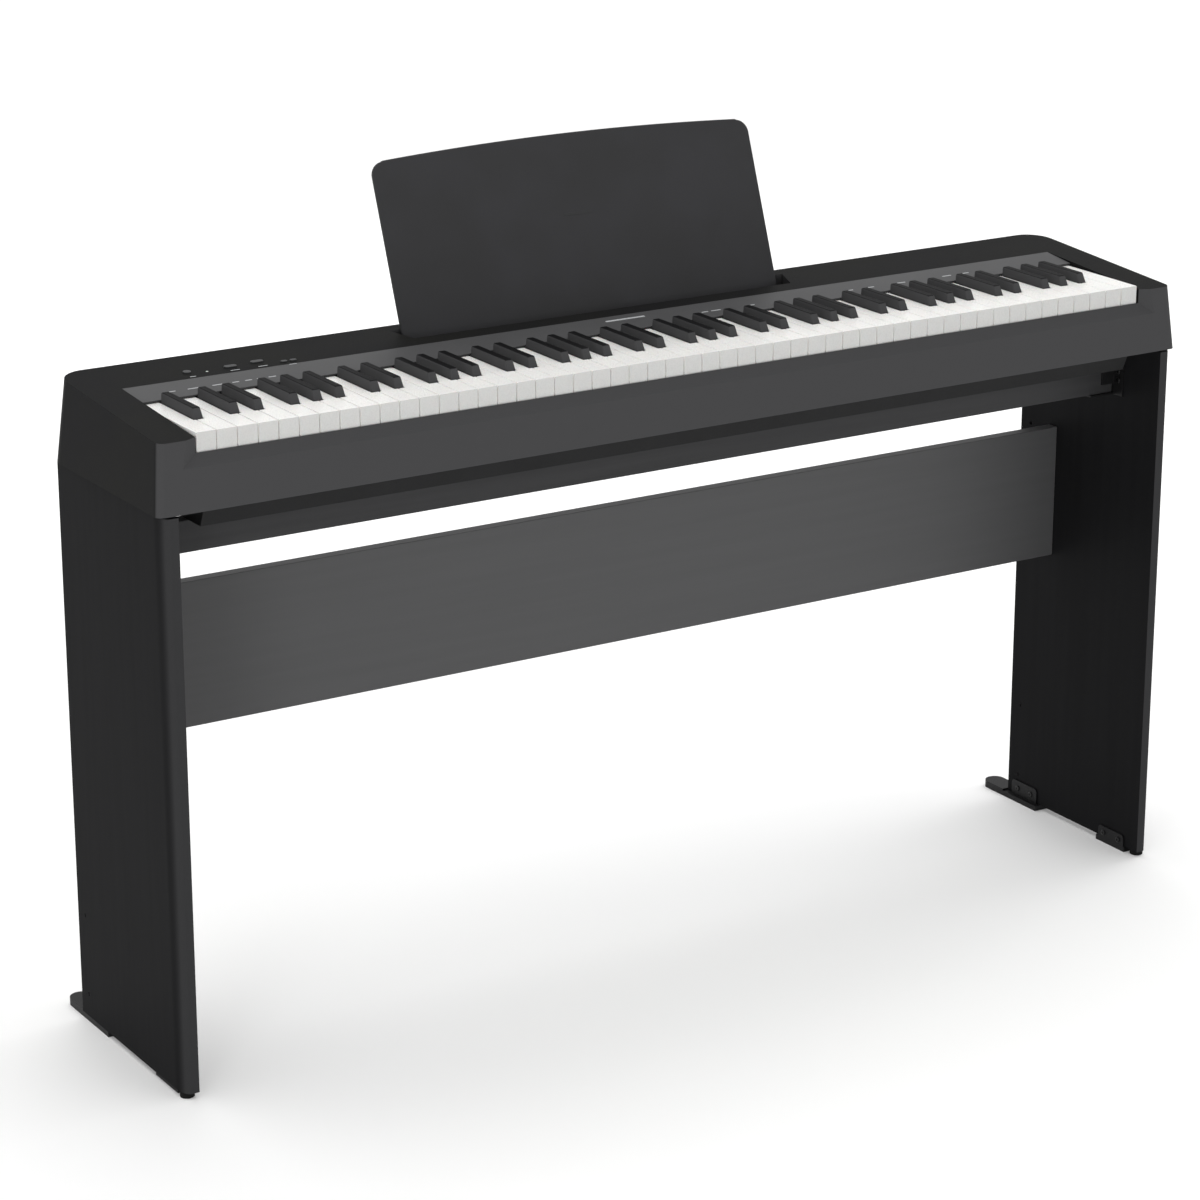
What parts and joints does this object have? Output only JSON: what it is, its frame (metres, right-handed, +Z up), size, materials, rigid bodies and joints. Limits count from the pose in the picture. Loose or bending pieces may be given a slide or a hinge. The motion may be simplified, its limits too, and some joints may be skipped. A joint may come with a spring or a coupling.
{
  "type": "digital piano on stand",
  "caption": "Slim digital piano with full-width keyboard, panel buttons and a lift-out music rest, on a stand of two side panels, a back board and a front rail.",
  "frame": {"origin": "on the floor, at the middle of the outline's width and depth", "axes": "+X along the keyboard towards the treble end, +Y from the player towards the wall, +Z up"},
  "size_m": [1.326, 0.3088, 0.9184],
  "materials": {
    "panel_black": "black laminated board, satin",
    "board_black": "dark grey laminated board, satin",
    "bracket_steel": "black painted steel",
    "foot_steel": "black painted steel",
    "pad_rubber": "black rubber",
    "screw_steel": "blackened steel screw",
    "case_plastic": "fine-grained black moulding",
    "strip_plastic": "dark grey moulding",
    "rest_plastic": "fine-grained black moulding",
    "button_plastic": "satin black cap",
    "frame_steel": "zinc-plated sheet",
    "rod_steel": "ground steel rod",
    "red_felt": "pressed felt",
    "speaker_black": "pressed frame and paper cone",
    "circuit_board": "green laminate",
    "jack_plastic": "black moulding",
    "port_steel": "plated shell",
    "lamp_lens": "frosted light pipe",
    "black_key": "matte black moulding",
    "white_key": "satin white moulding"
  },
  "bodies": {
    "piano_on_stand": {"side_panel_left": "panel_black", "side_panel_right": "panel_black", "back_board": "board_black", "support_rail": "panel_black", "rail_bracket_left": "bracket_steel", "rail_bracket_right": "bracket_steel", "rear_foot_left": "foot_steel", "rear_foot_right": "foot_steel", "front_foot_left": "foot_steel", "front_foot_right": "foot_steel", "foot_glides": "pad_rubber", "foot_screws": "screw_steel", "board_brackets": "bracket_steel", "top_brackets": "bracket_steel", "bracket_screws": "screw_steel", "case_pads": "pad_rubber", "keyboard_screws": "screw_steel", "top_case": "case_plastic", "control_strip": "strip_plastic", "bottom_case": "case_plastic", "case_screws": "screw_steel", "key_frame": "frame_steel", "pivot_rod": "rod_steel", "key_felt": "red_felt", "speaker_left": "speaker_black", "speaker_right": "speaker_black", "main_board": "circuit_board", "panel_board": "circuit_board", "dc_jack": "jack_plastic", "usb_port": "port_steel", "pedal_jack": "jack_plastic", "phones_jack": "jack_plastic", "power_lamp": "lamp_lens"},
    "key_c4": {"key_c4": "white_key"},
    "key_d4": {"key_d4": "white_key"},
    "key_e4": {"key_e4": "white_key"},
    "key_f4": {"key_f4": "white_key"},
    "key_g4": {"key_g4": "white_key"},
    "key_a4": {"key_a4": "white_key"},
    "key_b4": {"key_b4": "white_key"},
    "key_c_sharp_4": {"key_c_sharp_4": "black_key"},
    "key_d_sharp_4": {"key_d_sharp_4": "black_key"},
    "key_f_sharp_4": {"key_f_sharp_4": "black_key"},
    "key_g_sharp_4": {"key_g_sharp_4": "black_key"},
    "key_a_sharp_4": {"key_a_sharp_4": "black_key"},
    "white_keys_low": {"white_keys_low": "white_key"},
    "white_keys_octave_3": {"white_keys_octave_3": "white_key"},
    "white_keys_octave_5": {"white_keys_octave_5": "white_key"},
    "white_keys_high": {"white_keys_high": "white_key"},
    "black_keys_low": {"black_keys_low": "black_key"},
    "black_keys_octave_3": {"black_keys_octave_3": "black_key"},
    "black_keys_octave_5": {"black_keys_octave_5": "black_key"},
    "black_keys_high": {"black_keys_high": "black_key"},
    "power_button": {"power_button": "button_plastic"},
    "function_button": {"function_button": "button_plastic"},
    "voice_button": {"voice_button": "button_plastic"},
    "minus_button": {"minus_button": "button_plastic"},
    "plus_button": {"plus_button": "button_plastic"},
    "music_rest": {"music_rest": "rest_plastic"}
  },
  "joints": [
    {"name": "music_rest_lift", "type": "slide", "parent": "piano_on_stand", "child": "music_rest", "axis": [0, 0.3453, 0.9385], "range_m": [0, 0.03]},
    {"name": "power_button_press", "type": "slide", "parent": "piano_on_stand", "child": "power_button", "axis": [0, 0.0703, -0.9975], "range_m": [0, 0.0012], "stiffness_N_per_m": 300, "springref_m": -0.002},
    {"name": "function_button_press", "type": "slide", "parent": "piano_on_stand", "child": "function_button", "axis": [0, 0.0703, -0.9975], "range_m": [0, 0.0012], "stiffness_N_per_m": 300, "springref_m": -0.002},
    {"name": "voice_button_press", "type": "slide", "parent": "piano_on_stand", "child": "voice_button", "axis": [0, 0.0703, -0.9975], "range_m": [0, 0.0012], "stiffness_N_per_m": 300, "springref_m": -0.002},
    {"name": "minus_button_press", "type": "slide", "parent": "piano_on_stand", "child": "minus_button", "axis": [0, 0.0703, -0.9975], "range_m": [0, 0.0012], "stiffness_N_per_m": 300, "springref_m": -0.002},
    {"name": "plus_button_press", "type": "slide", "parent": "piano_on_stand", "child": "plus_button", "axis": [0, 0.0703, -0.9975], "range_m": [0, 0.0012], "stiffness_N_per_m": 300, "springref_m": -0.002},
    {"name": "key_c4_press", "type": "hinge", "parent": "piano_on_stand", "child": "key_c4", "pos_m": [0, 0.08156, 0.704], "axis": [1, 0, 0], "range_deg": [0, 2.5], "stiffness_Nm_per_rad": 0.3, "springref_deg": -28.65},
    {"name": "key_d4_press", "type": "hinge", "parent": "piano_on_stand", "child": "key_d4", "pos_m": [0, 0.08156, 0.704], "axis": [1, 0, 0], "range_deg": [0, 2.5], "stiffness_Nm_per_rad": 0.3, "springref_deg": -28.65},
    {"name": "key_e4_press", "type": "hinge", "parent": "piano_on_stand", "child": "key_e4", "pos_m": [0, 0.08156, 0.704], "axis": [1, 0, 0], "range_deg": [0, 2.5], "stiffness_Nm_per_rad": 0.3, "springref_deg": -28.65},
    {"name": "key_f4_press", "type": "hinge", "parent": "piano_on_stand", "child": "key_f4", "pos_m": [0, 0.08156, 0.704], "axis": [1, 0, 0], "range_deg": [0, 2.5], "stiffness_Nm_per_rad": 0.3, "springref_deg": -28.65},
    {"name": "key_g4_press", "type": "hinge", "parent": "piano_on_stand", "child": "key_g4", "pos_m": [0, 0.08156, 0.704], "axis": [1, 0, 0], "range_deg": [0, 2.5], "stiffness_Nm_per_rad": 0.3, "springref_deg": -28.65},
    {"name": "key_a4_press", "type": "hinge", "parent": "piano_on_stand", "child": "key_a4", "pos_m": [0, 0.08156, 0.704], "axis": [1, 0, 0], "range_deg": [0, 2.5], "stiffness_Nm_per_rad": 0.3, "springref_deg": -28.65},
    {"name": "key_b4_press", "type": "hinge", "parent": "piano_on_stand", "child": "key_b4", "pos_m": [0, 0.08156, 0.704], "axis": [1, 0, 0], "range_deg": [0, 2.5], "stiffness_Nm_per_rad": 0.3, "springref_deg": -28.65},
    {"name": "key_c_sharp_4_press", "type": "hinge", "parent": "piano_on_stand", "child": "key_c_sharp_4", "pos_m": [0, 0.08156, 0.704], "axis": [1, 0, 0], "range_deg": [0, 2.5], "stiffness_Nm_per_rad": 0.3, "springref_deg": -28.65},
    {"name": "key_d_sharp_4_press", "type": "hinge", "parent": "piano_on_stand", "child": "key_d_sharp_4", "pos_m": [0, 0.08156, 0.704], "axis": [1, 0, 0], "range_deg": [0, 2.5], "stiffness_Nm_per_rad": 0.3, "springref_deg": -28.65},
    {"name": "key_f_sharp_4_press", "type": "hinge", "parent": "piano_on_stand", "child": "key_f_sharp_4", "pos_m": [0, 0.08156, 0.704], "axis": [1, 0, 0], "range_deg": [0, 2.5], "stiffness_Nm_per_rad": 0.3, "springref_deg": -28.65},
    {"name": "key_g_sharp_4_press", "type": "hinge", "parent": "piano_on_stand", "child": "key_g_sharp_4", "pos_m": [0, 0.08156, 0.704], "axis": [1, 0, 0], "range_deg": [0, 2.5], "stiffness_Nm_per_rad": 0.3, "springref_deg": -28.65},
    {"name": "key_a_sharp_4_press", "type": "hinge", "parent": "piano_on_stand", "child": "key_a_sharp_4", "pos_m": [0, 0.08156, 0.704], "axis": [1, 0, 0], "range_deg": [0, 2.5], "stiffness_Nm_per_rad": 0.3, "springref_deg": -28.65},
    {"name": "white_keys_low_press", "type": "hinge", "parent": "piano_on_stand", "child": "white_keys_low", "pos_m": [0, 0.08156, 0.704], "axis": [1, 0, 0], "range_deg": [0, 2.5], "stiffness_Nm_per_rad": 4.8, "springref_deg": -28.65},
    {"name": "white_keys_octave_3_press", "type": "hinge", "parent": "piano_on_stand", "child": "white_keys_octave_3", "pos_m": [0, 0.08156, 0.704], "axis": [1, 0, 0], "range_deg": [0, 2.5], "stiffness_Nm_per_rad": 2.1, "springref_deg": -28.65},
    {"name": "white_keys_octave_5_press", "type": "hinge", "parent": "piano_on_stand", "child": "white_keys_octave_5", "pos_m": [0, 0.08156, 0.704], "axis": [1, 0, 0], "range_deg": [0, 2.5], "stiffness_Nm_per_rad": 2.1, "springref_deg": -28.65},
    {"name": "white_keys_high_press", "type": "hinge", "parent": "piano_on_stand", "child": "white_keys_high", "pos_m": [0, 0.08156, 0.704], "axis": [1, 0, 0], "range_deg": [0, 2.5], "stiffness_Nm_per_rad": 4.5, "springref_deg": -28.65},
    {"name": "black_keys_low_press", "type": "hinge", "parent": "piano_on_stand", "child": "black_keys_low", "pos_m": [0, 0.08156, 0.704], "axis": [1, 0, 0], "range_deg": [0, 2.5], "stiffness_Nm_per_rad": 3.3, "springref_deg": -28.65},
    {"name": "black_keys_octave_3_press", "type": "hinge", "parent": "piano_on_stand", "child": "black_keys_octave_3", "pos_m": [0, 0.08156, 0.704], "axis": [1, 0, 0], "range_deg": [0, 2.5], "stiffness_Nm_per_rad": 1.5, "springref_deg": -28.65},
    {"name": "black_keys_octave_5_press", "type": "hinge", "parent": "piano_on_stand", "child": "black_keys_octave_5", "pos_m": [0, 0.08156, 0.704], "axis": [1, 0, 0], "range_deg": [0, 2.5], "stiffness_Nm_per_rad": 1.5, "springref_deg": -28.65},
    {"name": "black_keys_high_press", "type": "hinge", "parent": "piano_on_stand", "child": "black_keys_high", "pos_m": [0, 0.08156, 0.704], "axis": [1, 0, 0], "range_deg": [0, 2.5], "stiffness_Nm_per_rad": 3, "springref_deg": -28.65}
  ]
}
